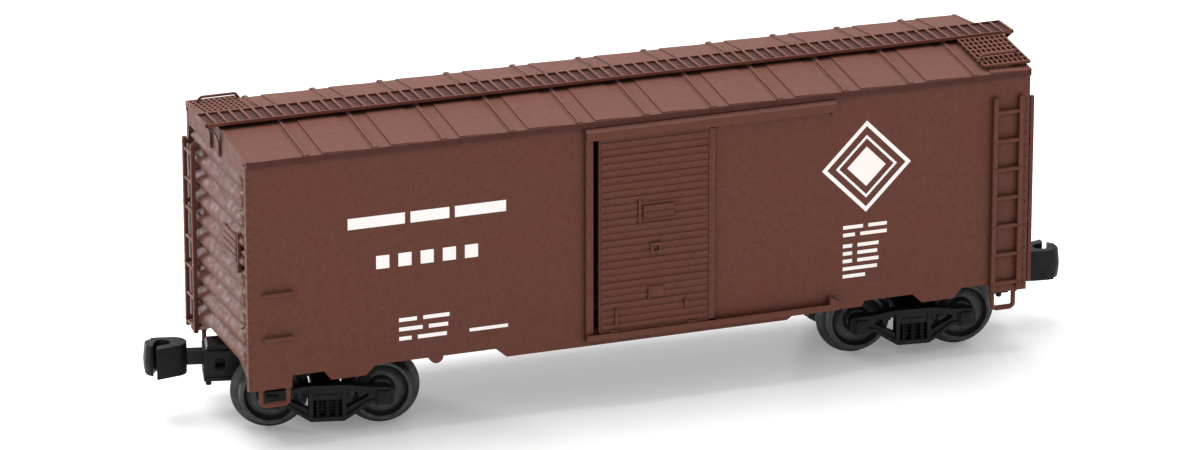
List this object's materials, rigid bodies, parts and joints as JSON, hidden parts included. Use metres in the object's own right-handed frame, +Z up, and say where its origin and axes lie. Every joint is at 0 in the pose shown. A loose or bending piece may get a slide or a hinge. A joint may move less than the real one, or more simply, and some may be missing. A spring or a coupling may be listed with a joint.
{
  "type": "model box car",
  "caption": "Scale model box car: gable-roofed body with sliding side doors, ladders and roof walkways, on swivelling two-axle trucks that carry spring-centred couplers.",
  "frame": {"origin": "middle of the car in plan, at the level of the wheel flange bottoms", "axes": "+X along the car, +Z up, the near side is -Y and the left end is -X"},
  "size_m": [0.0672, 0.0142, 0.0221],
  "materials": {
    "oxide_brown": "flat",
    "walkway_brown": "flat",
    "black_plastic": "satin",
    "wheel_metal": "blackened satin",
    "bright_steel": "satin"
  },
  "bodies": {
    "car_body": {"body_shell": "oxide_brown", "underframe": "black_plastic", "ballast_weight": "bright_steel", "running_board": "walkway_brown", "lateral_board_right": "walkway_brown", "lateral_board_left": "walkway_brown", "lateral_grab_right": "oxide_brown", "lateral_grab_left": "oxide_brown", "side_ladder_near": "oxide_brown", "side_ladder_far": "oxide_brown", "end_ladder_right": "oxide_brown", "end_ladder_left": "oxide_brown", "stirrup_near_left": "oxide_brown", "stirrup_far_right": "oxide_brown", "stirrup_near_right": "oxide_brown", "stirrup_far_left": "oxide_brown", "side_grab_near_upper": "oxide_brown", "side_grab_far_upper": "oxide_brown", "side_grab_near_lower": "oxide_brown", "side_grab_far_lower": "oxide_brown", "upper_track_near": "oxide_brown", "upper_track_far": "oxide_brown", "lower_track_near": "oxide_brown", "lower_track_far": "oxide_brown", "brake_housing": "oxide_brown", "brake_wheel": "oxide_brown", "brake_platform": "oxide_brown", "air_reservoir": "black_plastic", "brake_cylinder": "black_plastic", "control_valve": "black_plastic", "truck_pin_left": "black_plastic", "truck_pin_right": "black_plastic"},
    "door_near": {"door_near": "oxide_brown"},
    "door_far": {"door_far": "oxide_brown"},
    "truck_left": {"truck_frame_left": "black_plastic", "coupler_lid_left": "black_plastic", "coupler_pin_left": "black_plastic", "coupler_spring_left": "bright_steel"},
    "coupler_left": {"coupler_left": "black_plastic"},
    "wheelset_left_outer": {"axle_left_outer": "bright_steel", "wheel_left_outer_a": "wheel_metal", "wheel_left_outer_b": "wheel_metal"},
    "wheelset_left_inner": {"axle_left_inner": "bright_steel", "wheel_left_inner_a": "wheel_metal", "wheel_left_inner_b": "wheel_metal"},
    "truck_right": {"truck_frame_right": "black_plastic", "coupler_lid_right": "black_plastic", "coupler_pin_right": "black_plastic", "coupler_spring_right": "bright_steel"},
    "coupler_right": {"coupler_right": "black_plastic"},
    "wheelset_right_outer": {"axle_right_outer": "bright_steel", "wheel_right_outer_a": "wheel_metal", "wheel_right_outer_b": "wheel_metal"},
    "wheelset_right_inner": {"axle_right_inner": "bright_steel", "wheel_right_inner_a": "wheel_metal", "wheel_right_inner_b": "wheel_metal"}
  },
  "joints": [
    {"name": "door_near_slide", "type": "slide", "parent": "car_body", "child": "door_near", "axis": [1, 0, 0], "range_m": [-0.00035, 0.0085]},
    {"name": "door_far_slide", "type": "slide", "parent": "car_body", "child": "door_far", "axis": [-1, 0, 0], "range_m": [-0.00035, 0.0085]},
    {"name": "truck_left_swivel", "type": "hinge", "parent": "car_body", "child": "truck_left", "pos_m": [-0.02145, 0, 0.00361], "axis": [0, 0, 1], "range_deg": [-4, 32]},
    {"name": "coupler_left_swing", "type": "hinge", "parent": "truck_left", "child": "coupler_left", "pos_m": [-0.02717, 0.00143, 0.00426], "axis": [0, 0, 1], "range_deg": [-8, 8], "stiffness_Nm_per_rad": 0.00001},
    {"name": "wheelset_left_outer_roll", "type": "hinge", "parent": "truck_left", "child": "wheelset_left_outer", "pos_m": [-0.02515, 0.00092, 0.00273], "axis": [0.2419, 0.9703, 0], "continuous": true},
    {"name": "wheelset_left_inner_roll", "type": "hinge", "parent": "truck_left", "child": "wheelset_left_inner", "pos_m": [-0.01775, -0.00092, 0.00273], "axis": [0.2419, 0.9703, 0], "continuous": true},
    {"name": "truck_right_swivel", "type": "hinge", "parent": "car_body", "child": "truck_right", "pos_m": [0.02145, 0, 0.00361], "axis": [0, 0, 1], "range_deg": [-11, 25]},
    {"name": "coupler_right_swing", "type": "hinge", "parent": "truck_right", "child": "coupler_right", "pos_m": [0.02731, -0.00072, 0.00426], "axis": [0, 0, 1], "range_deg": [-8, 8], "stiffness_Nm_per_rad": 0.00001},
    {"name": "wheelset_right_outer_roll", "type": "hinge", "parent": "truck_right", "child": "wheelset_right_outer", "pos_m": [0.02523, -0.00046, 0.00273], "axis": [0.1219, 0.9925, 0], "continuous": true},
    {"name": "wheelset_right_inner_roll", "type": "hinge", "parent": "truck_right", "child": "wheelset_right_inner", "pos_m": [0.01767, 0.00046, 0.00273], "axis": [0.1219, 0.9925, 0], "continuous": true}
  ]
}
